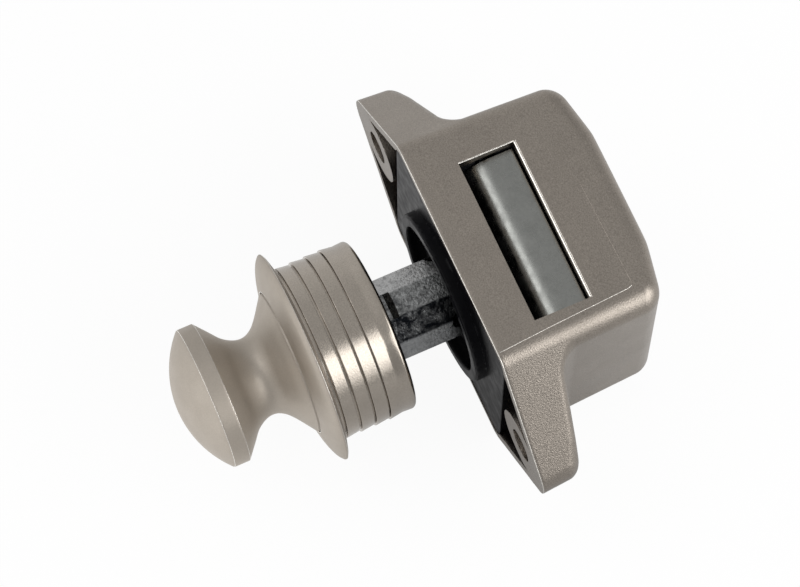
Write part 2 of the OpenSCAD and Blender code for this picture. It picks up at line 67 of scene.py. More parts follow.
def make_camera():
    back = Vector((math.sin(CAM_AZ) * math.cos(CAM_EL),
                   -math.cos(CAM_AZ) * math.cos(CAM_EL), math.sin(CAM_EL)))
    right = Vector((0, 0, 1)).cross(back).normalized()
    up = back.cross(right)
    c, s = math.cos(CAM_ROLL), math.sin(CAM_ROLL)
    right, up = right * c + up * s, up * c - right * s
    data = bpy.data.cameras.new("camera")
    data.sensor_width = SENSOR_W
    data.lens = CAM_F / FRAME_W * SENSOR_W
    data.clip_start, data.clip_end = 0.01, 20
    cam = bpy.data.objects.new("camera", data)
    m = Matrix((right, up, back)).transposed().to_4x4()
    m.translation = Vector(CAM_AT) * MM
    cam.matrix_world = m
    scene.collection.objects.link(cam)
    scene.camera = cam


make_camera()

# Solids as distance fields in millimetres, turned into meshes with sharp and rounded edges kept


def meet(a, b, r=0.0):
    """Both solids, their outer edge rounded by r."""
    if np.isscalar(r) and not r:
        return np.maximum(a, b)
    outer = np.hypot(np.maximum(r + a, 0), np.maximum(r + b, 0))
    return np.minimum(-r, np.maximum(a, b)) + outer


def join(a, b, r):
    """Either solid, the inner corner between them filled by r."""
    inner = np.hypot(np.maximum(r - a, 0), np.maximum(r - b, 0))
    return np.maximum(r, np.minimum(a, b)) - inner


def cut(a, b, r=0.0):
    """The first solid without the second, its new edge rounded by r."""
    return meet(a, -b, r)


def rect(u, v, hu, hv, r):
    """Rounded rectangle centred on the origin."""
    qu, qv = np.abs(u) - hu + r, np.abs(v) - hv + r
    return np.hypot(np.maximum(qu, 0), np.maximum(qv, 0)) + np.minimum(np.maximum(qu, qv), 0) - r


def slab(u, lo, hi):
    return np.abs(u - (lo + hi) / 2) - (hi - lo) / 2


def block(x, y, z, lo, hi):
    q = [slab(c, l, h) for c, l, h in zip((x, y, z), lo, hi)]
    out = np.sqrt(sum(np.maximum(c, 0) ** 2 for c in q))
    return out + np.minimum(np.maximum(np.maximum(q[0], q[1]), q[2]), 0)


def rod(u, v, r):
    return np.hypot(u, v) - r


GRID_SHIFT = (0.63, 0.57, 0.61)  # Keeps flat faces off the grid's own planes
CHUNK = 24
ROOT_STEPS = 5
NORMAL_STEP = 0.004
FLAT_PULL = 0.03  # Keeps a vertex near its cell's centre where the planes leave it free


def contour(fn, lo, hi, h):
    """Dual contouring: a vertex in each crossed cell, where the surface's tangent planes meet."""
    lo = np.array(lo, float) - h * np.array(GRID_SHIFT)
    n = np.ceil((np.array(hi) - lo) / h).astype(int) + 2
    ax = [lo[i] + h * np.arange(n[i]) for i in range(3)]
    field = np.empty(n, np.float32)
    for i in range(0, n[0], CHUNK):
        part = slice(i, i + CHUNK)
        field[part] = fn(ax[0][part, None, None], ax[1][None, :, None], ax[2][None, None, :])
    inside = field < 0
    points, normals, cells = [], [], []
    for a in range(3):
        b, c = (a + 1) % 3, (a + 2) % 3
        head, tail = [slice(None)] * 3, [slice(None)] * 3
        head[a], tail[a] = slice(1, None), slice(None, -1)
        idx = np.argwhere(inside[tuple(head)] != inside[tuple(tail)])
        end = idx.copy()
        end[:, a] += 1
        f0, f1 = field[tuple(idx.T)].astype(float), field[tuple(end.T)].astype(float)
        p0 = lo + h * idx
        t0, t1 = np.zeros(len(idx)), np.ones(len(idx))
        t = f0 / (f0 - f1)
        for _ in range(ROOT_STEPS):
            p = p0.copy()
            p[:, a] += t * h
            g = fn(p[:, 0], p[:, 1], p[:, 2])
            low = (g < 0) == (f0 < 0)
            t0, f0 = np.where(low, t, t0), np.where(low, g, f0)
            t1, f1 = np.where(low, t1, t), np.where(low, f1, g)
            d = f0 - f1
            steep = np.abs(d) > 1e-9
            t = np.where(steep, t0 + (t1 - t0) * f0 / np.where(steep, d, 1), (t0 + t1) / 2)
            t = np.clip(t, t0 + 0.02 * (t1 - t0), t1 - 0.02 * (t1 - t0))
        p = p0.copy()
        p[:, a] += t * h
        grad = np.stack([fn(*[p[:, j] + NORMAL_STEP * (j == i) for j in range(3)]) -
                         fn(*[p[:, j] - NORMAL_STEP * (j == i) for j in range(3)])
                         for i in range(3)], 1)
        grad /= np.linalg.norm(grad, axis=1, keepdims=True) + 1e-12
        ring = []
        for db, dc in ((-1, -1), (0, -1), (0, 0), (-1, 0)):
            cell = idx.copy()
            cell[:, b] += db
            cell[:, c] += dc
            ring.append(np.ravel_multi_index(tuple(cell.T), tuple(n)))
        ring = np.stack(ring, 1)
        flip = ~inside[tuple(idx.T)]
        ring[flip] = ring[flip][:, ::-1]
        points.append(p)
        normals.append(grad)
        cells.append(ring)
    p, nrm, ring = np.concatenate(points), np.concatenate(normals), np.concatenate(cells)
    ids, inv = np.unique(ring.ravel(), return_inverse=True)
    pp, nn = np.repeat(p, 4, 0), np.repeat(nrm, 4, 0)
    m = len(ids)
    num = np.bincount(inv, minlength=m)
    centre = np.stack([np.bincount(inv, pp[:, i], m) for i in range(3)], 1) / num[:, None]
    dist = (nn * (pp - centre[inv])).sum(1)
    mat = np.empty((m, 3, 3))
    for i in range(3):
        for j in range(3):
            mat[:, i, j] = np.bincount(inv, nn[:, i] * nn[:, j], m)
    rhs = np.stack([np.bincount(inv, nn[:, i] * dist, m) for i in range(3)], 1)
    mat += np.eye(3)[None] * (FLAT_PULL * num)[:, None, None]
    v = centre + np.linalg.solve(mat, rhs[:, :, None])[:, :, 0]
    base = lo + h * np.stack(np.unravel_index(ids, tuple(n)), 1)
    v = np.clip(v, base, base + h)
    return v, inv.reshape(-1, 4)


BOX_GAP = 1e-6


def mesh_object(name, verts, faces, angle=32):
    """A mesh from millimetre points, kept within the CAD box; faces are all quads or all triangles."""
    mesh = bpy.data.meshes.new(name)
    k = faces.shape[1]
    lo, hi = (np.array(corner) for corner in cad_box)
    verts = np.clip(np.asarray(verts) * MM, lo + BOX_GAP, hi - BOX_GAP)
    mesh.vertices.add(len(verts))
    mesh.vertices.foreach_set("co", verts.astype(np.float32).ravel())
    mesh.loops.add(faces.size)
    mesh.loops.foreach_set("vertex_index", faces.astype(np.int32).ravel())
    mesh.polygons.add(len(faces))
    mesh.polygons.foreach_set("loop_start", np.arange(0, faces.size, k, dtype=np.int32))
    mesh.update(calc_edges=True)
    mesh.validate()
    mesh.shade_smooth()
    mesh.set_sharp_from_angle(angle=math.radians(angle))
    obj = bpy.data.objects.new(name, mesh)
    scene.collection.objects.link(obj)
    return obj


def field_object(name, fn, lo, hi, h):
    return mesh_object(name, *contour(fn, lo, hi, h))


def grid_quads(rows, columns, closed=True):
    """Quads over a grid of points whose columns close on themselves, and its rows where asked."""
    i, j = np.meshgrid(np.arange(rows if closed else rows - 1), np.arange(columns), indexing="ij")
    i2, j2 = (i + 1) % rows * columns, (j + 1) % columns
    i = i * columns
    return np.stack([i + j, i + j2, i2 + j2, i2 + j], 2).reshape(-1, 4)


def signed_area(p):
    q = np.roll(p, -1, 0)
    return np.sum(p[:, 0] * q[:, 1] - q[:, 0] * p[:, 1])


def tube(name, points, ring, closed=False, angle=60, axis=(0, 0, 1)):
    """A bar along a line of points; ring is its section, across the line and along the axis."""
    p, ring = np.array(points, float), np.array(ring, float)
    k, m = len(p), len(ring)
    nxt, prv = np.roll(p, -1, 0), np.roll(p, 1, 0)
    if not closed:
        nxt[-1], prv[0] = 2 * p[-1] - p[-2], 2 * p[0] - p[1]
    t = nxt - prv
    t /= np.linalg.norm(t, axis=1, keepdims=True)
    u = np.cross(np.array([axis], float), t)
    u /= np.linalg.norm(u, axis=1, keepdims=True)
    w = np.cross(t, u)
    v = (p[:, None] + ring[None, :, :1] * u[:, None] + ring[None, :, 1:] * w[:, None]).reshape(-1, 3)
    q = grid_quads(k, m, closed)
    f = np.vstack([q[:, [0, 1, 2]], q[:, [0, 2, 3]]])
    if not closed:
        v = np.vstack([v, p[:1], p[-1:]])
        one, two = np.arange(m), (np.arange(m) + 1) % m
        f = np.vstack([f, np.stack([two, one, np.full(m, k * m)], 1),
                       np.stack([one + (k - 1) * m, two + (k - 1) * m, np.full(m, k * m + 1)], 1)])
    return mesh_object(name, v, f if signed_area(ring) < 0 else f[:, ::-1], angle)


def circle(r, n=10):
    a = np.linspace(0, 2 * np.pi, n, endpoint=False)
    return np.stack([r * np.cos(a), r * np.sin(a)], 1)


def lathe(name, profile, steps=192):
    """A closed profile of [r, y] points turned about the Y axis."""
    pr = np.array(profile, float)
    th = np.linspace(0, 2 * np.pi, steps, endpoint=False)[:, None]
    r, y = pr[None, :, 0], np.broadcast_to(pr[None, :, 1], (steps, len(pr)))
    verts = np.stack([r * np.cos(th), y, r * np.sin(th)], 2).reshape(-1, 3)
    faces = grid_quads(steps, len(pr))
    return mesh_object(name, verts, faces[:, ::-1] if signed_area(pr) < 0 else faces)


def curve_through(points, n=6):
    """Catmull-Rom curve through the points, n steps between each pair."""
    p = np.array(points, float)
    p = np.vstack([2 * p[0] - p[1], p, 2 * p[-1] - p[-2]])
    out = []
    for i in range(1, len(p) - 2):
        for s in range(n):
            t = s / n
            square = 2 * p[i - 1] - 5 * p[i] + 4 * p[i + 1] - p[i + 2]
            cube = 3 * p[i] - p[i - 1] - 3 * p[i + 1] + p[i + 2]
            out.append(0.5 * (2 * p[i] + (p[i + 1] - p[i - 1]) * t + square * t * t + cube * t ** 3))
    out.append(p[-2])
    return out


def rounded(points, radii, n):
    """A closed profile with each corner rounded by its own radius, in n steps."""
    p = [np.array(q, float) for q in points]
    out = []
    for i, (q, r) in enumerate(zip(p, radii)):
        a, b = p[i - 1] - q, p[(i + 1) % len(p)] - q
        la, lb = np.linalg.norm(a), np.linalg.norm(b)
        a, b = a / la, b / lb
        half = math.acos(max(-1, min(1, float(a @ b)))) / 2
        if r <= 0 or half > 1.5 or half < 0.02:
            out.append(q)
            continue
        d = min(r / math.tan(half), la * 0.45, lb * 0.45)
        r = d * math.tan(half)
        c = q + (a + b) / np.linalg.norm(a + b) * (r / math.sin(half))
        u, w = q + a * d - c, q + b * d - c
        sweep = math.atan2(u[0] * w[1] - u[1] * w[0], float(u @ w))
        for s in range(n + 1):
            t = sweep * s / n
            out.append(c + np.array([u[0] * math.cos(t) - u[1] * math.sin(t),
                                     u[0] * math.sin(t) + u[1] * math.cos(t)]))
    return out


# Housing, cover, bolt and spindle. Names in _R are radii, those in _X, _Y and _Z places or half sizes

DEPTH, HALF_X, HALF_Z = 25.4, 18.3, 17.0
DRAFT_TO, BACK_R = 30, 2.4
CROWN_X, CROWN_SLOPE, CROWN_BEND, CROWN_SCALE = 8.6, 0.1, 0.5, 0.985
CORNER_R = 3.0
CORNER_X, CORNER_Z = HALF_X - CORNER_R, HALF_Z - CORNER_R
BOLT_Y, BOLT_T, BOLT_X0, BOLT_X1 = 6.62, 7.9, -11.15, 12.95
BOLT_BACK, BOLT_MID = BOLT_Y + BOLT_T, BOLT_Y + BOLT_T / 2
BOLT_END, BOLT_TAIL, NOSE_R = 14.57, -14.4, 4.2
SLOT_GAP, SLOT_FLOOR_Z = 0.15, 13.8
SLOT_Y0, SLOT_Y1 = BOLT_Y - 0.08, BOLT_BACK + 0.14
SLOT_X0, SLOT_X1 = BOLT_X0 - SLOT_GAP, BOLT_X1 + SLOT_GAP
CHIP, CHIP_DEEP, CHIP_Z = 0.14, 0.16, 16.25  # The broken back edge of the slot
LATCH_X, LATCH_Y, PIVOT_Z, LEAF_Z = 9.6, BOLT_BACK + 1.75, 11.3, -10.0
ROD_X, SPRING_END = 14.45, 14.8
POSTS_Z, POST_L = (-11, 8), 3
LUG_X, LUG_R, LUG_WALL, LUG_FILLET, LUG_FOOT = 27.1, 4.0, 1.4, 2.6, 10.9
LUG_TOP, LUG_TOP_N = (29.63, 6.07), (0.1833, 0.9831)
SCREW_X, SCREW_R, BOSS_R, HEAD_R, HEAD_Y = 23.75, 2.4, 5.25, 4.0, 5.0
POCKET_X, POCKET_Y = (18.2, 28.3), 3.4
HOLLOW_X, HOLLOW_Z, HOLLOW_R, BACK_WALL = 16.5, 14.8, 1.5, 3.6
WELL_X, WELL_Z, WELL_WALL = 6.7, 8.8, 2.0
SEAT_WALL, SEAT_R, COVER_T = 0.85, 2.3, 2.6
TAPER = (math.atan2(CORNER_Z, LUG_X - CORNER_X)
         - math.asin((LUG_R - CORNER_R) / math.hypot(LUG_X - CORNER_X, CORNER_Z)))
TAPER_N = (math.sin(TAPER), math.cos(TAPER))


def lug_plan(ax, az, k=0.0, inset=0.0):
    """Outline of the lugs: case corners and lug tips joined by tangent lines, drawn in by the draft k."""
    nx, nz = TAPER_N
    cx, cz = CORNER_X - k, CORNER_Z - k
    line = cx * nx + cz * nz + CORNER_R
    tip = (line - LUG_R) / nx
    at_tip = (ax - tip) * nz - az * nx > 0
    out = np.where(at_tip, np.hypot(ax - tip, az) - LUG_R, ax * nx + az * nz - line)
    corner = ((ax - cx) * nz - (az - cz) * nx < 0) & (az > cz)
    out = np.where(corner, np.hypot(ax - cx, az - cz) - CORNER_R, out)
    return np.where((ax < cx) & (az > 0), np.maximum(az - cz - CORNER_R, out - 9), out) + inset


def housing_field(x, y, z):
    ax, az = np.abs(x), np.abs(z)
    k = np.clip(y, 0, DRAFT_TO) / DEPTH
    side = rect(ax, az, HALF_X - k, HALF_Z - k, CORNER_R)
    t = ax - CROWN_X
    back = (y - DEPTH + CROWN_SLOPE * (np.sqrt(t * t + CROWN_BEND) + t)) * CROWN_SCALE
    case = meet(side, back, BACK_R)
    plan = lug_plan(ax, az, k)
    top = (ax - LUG_TOP[0]) * LUG_TOP_N[0] + (y - LUG_TOP[1]) * LUG_TOP_N[1]
    top = join(top, ax - (HALF_X - k), LUG_FILLET)
    # The lug's upper edge is rounder towards its tip
    soft = 1.0 + 0.7 * np.clip((ax - 27) / 2.5, 0, 1)
    lug = np.maximum(meet(plan, top, soft), np.maximum(14.0 - ax, y - LUG_FOOT))
    d = meet(np.minimum(case, lug), -y, 0.2)
    # Hollow, the spindle's well and the cover's seat
    hollow = np.maximum(rect(ax, az, HOLLOW_X, HOLLOW_Z, HOLLOW_R), y - (DEPTH - BACK_WALL))
    well = np.maximum(np.maximum(ax - WELL_X, slab(z, -HOLLOW_Z, WELL_Z)), y - (DEPTH - WELL_WALL))
    seat = np.maximum(rect(ax, az, HALF_X - SEAT_WALL, HALF_Z - SEAT_WALL, SEAT_R), y - COVER_T)
    d = cut(d, np.minimum(np.minimum(hollow, well), seat))
    # Ribs and bosses inside, sunk into the back wall
    floor_y = DEPTH - BACK_WALL + 0.4
    for zz in POSTS_Z:
        d = np.minimum(d, block(ax, y, z, (12.7, BOLT_BACK + 1.93, zz), (17.3, floor_y, zz + POST_L)))
    for zz, radius, start in ((PIVOT_Z, 1.9, LATCH_Y + 1.1), (LEAF_Z, 2.3, LATCH_Y + 3.55)):
        d = np.minimum(d, np.maximum(rod(x - LATCH_X, z - zz, radius), slab(y, start, floor_y)))
    # Pockets round the screw bosses, and the screw holes
    boss = rod(ax - SCREW_X, z, BOSS_R)
    inner = lug_plan(ax, az, 0.0, LUG_WALL)
    pocket = np.maximum(np.maximum(inner, slab(ax, *POCKET_X)), -boss)
    d = cut(d, np.maximum(pocket, y - POCKET_Y), 0.1)
    d = cut(d, np.maximum(np.maximum(inner, slab(ax, 17.1, 18.4)), y - COVER_T))
    d = cut(d, rod(ax - SCREW_X, z, SCREW_R), 0.12)
    d = cut(d, np.maximum(rod(ax - SCREW_X, z, HEAD_R), HEAD_Y - y), 0.15)
    # Bolt slot with its broken back edge
    edge = SLOT_Y1 + np.clip((z - CHIP_Z) / CHIP, 0, 1) * CHIP_DEEP
    slot = np.maximum(np.maximum(slab(x, SLOT_X0, SLOT_X1), SLOT_FLOOR_Z - z),
                      np.maximum(SLOT_Y0 - y, (y - edge) * 0.7))
    d = cut(d, slot, 0.06)
    # Blind holes for the latch wire, the leaf screw and the spring rods
    for zz, radius, y0, y1 in ((PIVOT_Z, 0.55, LATCH_Y, LATCH_Y + 5),
                               (LEAF_Z, 0.98, LATCH_Y + 3.2, LATCH_Y + 8.4)):
        d = cut(d, np.maximum(rod(x - LATCH_X, z - zz, radius), slab(y, y0, y1)))
    return cut(d, np.maximum(rod(ax - ROD_X, y - BOLT_MID, 0.63), az - 15.4))


# Normals of the ten-sided spindle's flats at 36 and 72 degrees from the upper one
FLAT_N = ((0.5878, 0.809), (0.9511, 0.309))
SPINDLE_FLAT, SPINDLE_BORE = 5.8, 5.88
RING_R, RING_BORE, RING_OUT = 12.5, 10.7, 1.5
WEB_R, WEB_FRONT, WEB_BACK = 11.0, 0.4, 3.4


def cover_field(x, y, z):
    ax, az = np.abs(x), np.abs(z)
    r = np.hypot(x, z)
    d = meet(rect(ax, az, HALF_X - 0.9, HALF_Z - 0.9, SEAT_R), slab(y, 0.1, COVER_T), 0.15)
    ring = meet(meet(r - RING_R, -RING_OUT - y, 0.4), -(r - RING_BORE), 0.25)
    d = join(d, np.maximum(ring, y - 2), 0.2)
    d = np.minimum(d, np.maximum(r - WEB_R, slab(y, WEB_FRONT, WEB_BACK)))
    for zz in POSTS_Z:
        d = np.minimum(d, block(ax, y, z, (13.2, 2.5, zz), (16.35, 5.0, zz + POST_L)))
    d = cut(d, np.maximum(r - RING_BORE, y - WEB_FRONT), 0.12)
    bore = az
    for nx, nz in FLAT_N:
        bore = np.maximum(bore, nx * ax + nz * az)
    return cut(d, bore - SPINDLE_BORE, 0.15)


# The bolt's cross pin and the inclined slot of the spindle's fork that drives it
PIN_Y, PIN_Z, PIN_R, PIN_X0 = 10.5, -6.3, 1.0, -10.35
STROKE, SLOPE, FORK_SLOT_R = 11.0, 0.85, 1.1
SLOPE_COS, SLOPE_SIN = np.cos(math.atan(SLOPE)), np.sin(math.atan(SLOPE))
FORK_HALF = FORK_SLOT_R / math.cos(math.atan(SLOPE))
FORK_LOW, FORK_HIGH = 2.6, 2.3


def bolt_field(x, y, z):
    nose = meet(BOLT_Y - y, z - BOLT_END, NOSE_R)
    back = meet(y - BOLT_BACK, z - BOLT_END, 0.35)
    d = meet(meet(np.maximum(nose, back), slab(x, BOLT_X0, BOLT_X1), 0.22), BOLT_TAIL - z, 0.1)
    # Ears that the springs push on, the fork's window and the track plate's seat with its pegs
    ear = np.maximum(slab(y, BOLT_MID - 1.4, BOLT_MID + 1.4), slab(z, BOLT_TAIL, BOLT_TAIL + 2))
    d = np.minimum(d, np.maximum(slab(x, -15.7, 15.7), ear))
    d = cut(d, np.maximum(np.abs(x) - 6.3, z - 1.04))
    d = cut(d, np.maximum(np.maximum(5.3 - x, BOLT_BACK - 2.02 - y), z - 4.25))
    for zz in (-12.2, 2.3):
        d = cut(d, np.maximum(rod(x - LATCH_X, z - zz, 0.92), BOLT_BACK - 3.7 - y))
    d = cut(d, np.maximum(rod(y - PIN_Y, z - PIN_Z, PIN_R), PIN_X0 - x))
    return cut(d, np.maximum(rod(np.abs(x) - ROD_X, y - BOLT_MID, 0.75), z + 11))


SPINDLE_Y0, SPINDLE_Y1, FORK_Y = -22.5, 11.7, 4.4
KNOB_PIN_Y, KNOB_PIN_R = -18.0, 1.0
NOTCH_X, NOTCH_Z, NOTCH_Y0, NOTCH_Y1 = 1.914, 4.9, -12.5, -8.95
NOTCH_END_N = (0.743, 0.669)


def spindle_field(x, y, z):
    ax, az = np.abs(x), np.abs(z)
    bar = az - SPINDLE_FLAT
    for nx, nz in FLAT_N:
        bar = meet(bar, nx * ax + nz * az - SPINDLE_FLAT, 0.1)
    bar = meet(bar, slab(y, SPINDLE_Y0, SPINDLE_Y1), 0.2)
    # Fork on both sides of the inclined slot
    mid = PIN_Z + SLOPE * (PIN_Y - y)
    low = mid - FORK_HALF - FORK_LOW
    arm = meet(np.maximum(ax - SPINDLE_FLAT, slab(y, FORK_Y, SPINDLE_Y1)),
               np.maximum((np.maximum(low, -8.2) - z) * 0.8, z + 4.8), 0.15)
    d = np.minimum(bar, arm)
    d = cut(d, np.maximum((mid + FORK_HALF + FORK_HIGH - z) * 0.76, 5.0 - y), 0.15)
    dy, dz = y - (PIN_Y - STROKE), z - (PIN_Z + SLOPE * STROKE)
    u, w = dy * SLOPE_COS - dz * SLOPE_SIN, dy * SLOPE_SIN + dz * SLOPE_COS
    groove = np.where(u < 0, np.hypot(u, w), np.abs(w)) - FORK_SLOT_R
    d = cut(d, groove, 0.1)
    # The knob pin's hole and the step cast into the upper flat
    d = cut(d, rod(y - KNOB_PIN_Y, z, KNOB_PIN_R))
    slope = (y - NOTCH_Y1) * NOTCH_END_N[0] - (z - NOTCH_Z) * NOTCH_END_N[1]
    notch = np.maximum(np.maximum(ax - NOTCH_X, np.maximum(NOTCH_Z - z, slope)), NOTCH_Y0 - y)
    return cut(d, notch, 0.1)


# Materials

WHITE, BLACK = (1, 1, 1), (0, 0, 0)
LOW, HIGH = 0.3, 0.7  # Noise values between which a mottled colour runs


def compute(nt, operation, *terms):
    """Output of a Math node whose terms are numbers or other outputs."""
    node = nt.nodes.new("ShaderNodeMath")
    node.operation = operation
    for socket, term in zip(node.inputs, terms):
        if isinstance(term, bpy.types.NodeSocket):
            nt.links.new(term, socket)
        else:
            socket.default_value = term
    return node.outputs[0]


def facing(nt, vector, toward):
    """Cosine between the vector and a fixed direction."""
    node = nt.nodes.new("ShaderNodeVectorMath")
    node.operation = "DOT_PRODUCT"
    node.inputs[1].default_value = toward
    nt.links.new(vector, node.inputs[0])
    return node.outputs["Value"]


def material(name, base, metallic, rough, *, vary=0.1, patch_scale=400, swirl=0.0, grain=0.0,
             grain_scale=4000, bump=0.0, bump_scale=4000, rough_vary=0.08, specular=0.5,
             patches=None, painted_side_shading=()):
    """Mottled colour and gloss with fine grain and bump, under dark patches and painted shade and light
    on some sides.
    """
    m = bpy.data.materials.new(name)
    m.use_nodes = True
    nt = m.node_tree
    nodes, links = nt.nodes, nt.links
    bsdf = nodes["Principled BSDF"]
    bsdf.inputs["Metallic"].default_value = metallic
    bsdf.inputs["Specular IOR Level"].default_value = specular
    co = nodes.new("ShaderNodeTexCoord")

    def noise(scale, detail, roughness=0.55, distortion=0.0):
        n = nodes.new("ShaderNodeTexNoise")
        n.inputs["Scale"].default_value = scale
        n.inputs["Detail"].default_value = detail
        n.inputs["Roughness"].default_value = roughness
        n.inputs["Distortion"].default_value = distortion
        links.new(co.outputs["Object"], n.inputs["Vector"])
        return n.outputs["Fac"]

    def ramp(fac, start, first, end, last):
        r = nodes.new("ShaderNodeValToRGB")
        for e, place, colour in zip(r.color_ramp.elements, (start, end), (first, last)):
            e.position = place
            e.color = (*colour, 1)
        links.new(fac, r.inputs["Fac"])
        return r.outputs["Color"]

    def cover(colour, over, factor):
        mix = nodes.new("ShaderNodeMix")
        mix.data_type = "RGBA"
        links.new(factor, mix.inputs["Factor"])
        links.new(colour, mix.inputs["A"])
        mix.inputs["B"].default_value = (*over, 1)
        return mix.outputs["Result"]

    dark = [c * (1 - vary) for c in base]
    light = [min(1, c * (1 + vary)) for c in base]
    colour = ramp(noise(patch_scale, 5, 0.62, swirl), LOW, dark, HIGH, light)
    if grain:
        mix = nodes.new("ShaderNodeMix")
        mix.data_type, mix.blend_type = "RGBA", "MULTIPLY"
        mix.inputs["Factor"].default_value = 1.0
        links.new(colour, mix.inputs["A"])
        fine = ramp(noise(grain_scale, 2, 0.6), LOW, [1 - grain] * 3, HIGH, [1 + grain] * 3)
        links.new(fine, mix.inputs["B"])
        colour = mix.outputs["Result"]
    if patches:
        over, scale, start, end = patches
        colour = cover(colour, over, ramp(noise(scale, 6, 0.65), start, BLACK, end, WHITE))
    for toward, over, strength, scale in painted_side_shading:
        # Painted shade and painted light: a colour laid on the faces that look one way, broken up by
        # noise
        side = ramp(facing(nt, co.outputs["Normal"], toward), 0.84, BLACK, 0.96, [strength] * 3)
        broken = ramp(noise(scale, 6, 0.76, 0.8), 0.44, WHITE, 0.64, [0.35] * 3)
        colour = cover(colour, over, compute(nt, "MULTIPLY", side, broken))
    links.new(colour, bsdf.inputs["Base Color"])
    gloss = ramp(noise(patch_scale * 1.7, 3), LOW, [max(0, rough - rough_vary)] * 3,
                 HIGH, [rough + rough_vary] * 3)
    links.new(gloss, bsdf.inputs["Roughness"])
    if bump:
        b = nodes.new("ShaderNodeBump")
        b.inputs["Strength"].default_value = 1.0
        b.inputs["Distance"].default_value = bump * MM
        links.new(noise(bump_scale, 2, 0.6), b.inputs["Height"])
        links.new(b.outputs["Normal"], bsdf.inputs["Normal"])
    return m


nickel_cast = material("pearl_nickel_casting", (0.36, 0.321, 0.28), 1.0, 0.31, vary=0.04,
                       patch_scale=120, grain=0.22, grain_scale=5600, bump=0.04, bump_scale=5200,
                       rough_vary=0.03)
nickel_knob = material("satin_nickel_knob", (0.47, 0.424, 0.369), 1.0, 0.54, vary=0.03,
                       patch_scale=220, grain=0.05, grain_scale=5200, bump=0.004, bump_scale=6000,
                       rough_vary=0.04)
nickel_turned = material("satin_nickel_turned", (0.482, 0.434, 0.378), 1.0, 0.21, vary=0.03,
                         patch_scale=220, grain=0.1, grain_scale=5200, bump=0.009, bump_scale=5000,
                         rough_vary=0.03)
nickel_bright = material("burnished_nickel_edge", (0.82, 0.79, 0.74), 1.0, 0.24, vary=0.1,
                         grain=0.25, grain_scale=3000, bump=0.01, bump_scale=3000)
zinc_raw = material("raw_zinc_casting", (0.26, 0.265, 0.265), 1.0, 0.34, vary=0.65,
                    patch_scale=1300, swirl=1.1, grain=0.4, grain_scale=4200, bump=0.08,
                    bump_scale=2400, patches=((0.045, 0.047, 0.052), 420, 0.5, 0.7),
                    # The flats are painted by the way they face: near-black painted shade on those 36
                    # degrees towards +X, and lighter painted light on those 36 degrees towards -X and 72
                    # degrees towards +X
                    painted_side_shading=[((0.588, 0, 0.809), (0.006, 0.007, 0.009), 1.0, 500),
                           ((-0.588, 0, 0.809), (0.66, 0.66, 0.66), 0.75, 1700),
                           ((0.951, 0, 0.309), (0.4, 0.41, 0.42), 0.7, 900)])
zinc_smooth = material("smooth_zinc_bolt", (0.31, 0.315, 0.30), 1.0, 0.28, vary=0.07,
                       patch_scale=420, swirl=1.0, grain=0.06, grain_scale=3800, bump=0.004)
black_plastic = material("moulded_black_plastic", (0.004, 0.004, 0.005), 0.0, 0.35, vary=0.2,
                         patch_scale=300, bump=0.004, bump_scale=3500, specular=0.08)
rubber_black = material("black_rubber", (0.012, 0.012, 0.012), 0.0, 0.6, vary=0.2, bump=0.01,
                        bump_scale=2500, specular=0.3)
acetal_white = material("natural_acetal", (0.72, 0.7, 0.64), 0.0, 0.35, vary=0.03, bump=0.004,
                        bump_scale=2500)
acetal_black = material("black_acetal", (0.008, 0.008, 0.009), 0.0, 0.3, vary=0.2, bump=0.004,
                        bump_scale=2500, specular=0.3)
steel_ground = material("ground_steel", (0.5, 0.5, 0.51), 1.0, 0.22, vary=0.08, grain=0.05,
                        bump=0.003, bump_scale=6000)
steel_wire = material("bright_spring_wire", (0.42, 0.42, 0.44), 1.0, 0.2, vary=0.08, bump=0.003,
                      bump_scale=5000)

CAD_LOOK = {
    "stop_washer": rubber_black, "guide_rail_left": acetal_black, "guide_rail_right": acetal_black,
    "guide_rod_left": steel_ground, "guide_rod_right": steel_ground, "bolt_cross_pin": steel_ground,
    "track_plate": acetal_white, "knob_pin": steel_ground, "knob_snap_ring": steel_wire,
    "latch_follower": steel_wire, "latch_leaf": steel_wire, "leaf_screw": steel_ground,
}
for node, look in CAD_LOOK.items():
    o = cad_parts[node]
    if not o.material_slots:
        o.data.materials.append(look)
    for s in o.material_slots:
        s.material = look


def dress(obj, body, node, slot, look):
    obj.data.materials.append(look)
    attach(obj, body)
    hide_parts(node)


STEP = 0.3
SPINDLE_STEP = STEP * 0.8
dress(field_object("housing_casting", housing_field, (-31.2, -0.3, -17.3), (31.2, 25.7, 17.3), STEP),
      "case", "housing", "case_nickel", nickel_cast)
dress(field_object("front_cover_moulding", cover_field, (-17.7, -1.8, -16.4), (17.7, 5.3, 16.4), STEP),
      "case", "front_cover", "cover_black", black_plastic)
dress(field_object("bolt_body", bolt_field, (-16, 6.3, -14.7), (16, 14.9, 14.9), STEP),
      "lock_bolt", "bolt", "bolt_zinc", zinc_smooth)
dress(field_object("spindle_casting", spindle_field, (-6.1, -22.8, -8.5), (6.1, 12, 6.1), SPINDLE_STEP),
      "push_knob", "spindle", "spindle_zinc", zinc_raw)

# Burnished edges and the parting line of the casting's slide

CASE, BOLT = ("case", "housing", "case_nickel"), ("lock_bolt", "bolt", "bolt_zinc")
KNOB, ROSETTE = ("push_knob", "knob", "knob_nickel"), ("case", "rosette", "rosette_nickel")
EDGE_IN, EDGE_R, PARTING_R, BURR_R = 0.09, 0.08, 0.05, 0.09


def arc(cx, cz, r, a0, a1, n=14):
    a = np.radians(np.linspace(a0, a1, n))
    return np.stack([cx + r * np.cos(a), cz + r * np.sin(a)], 1)


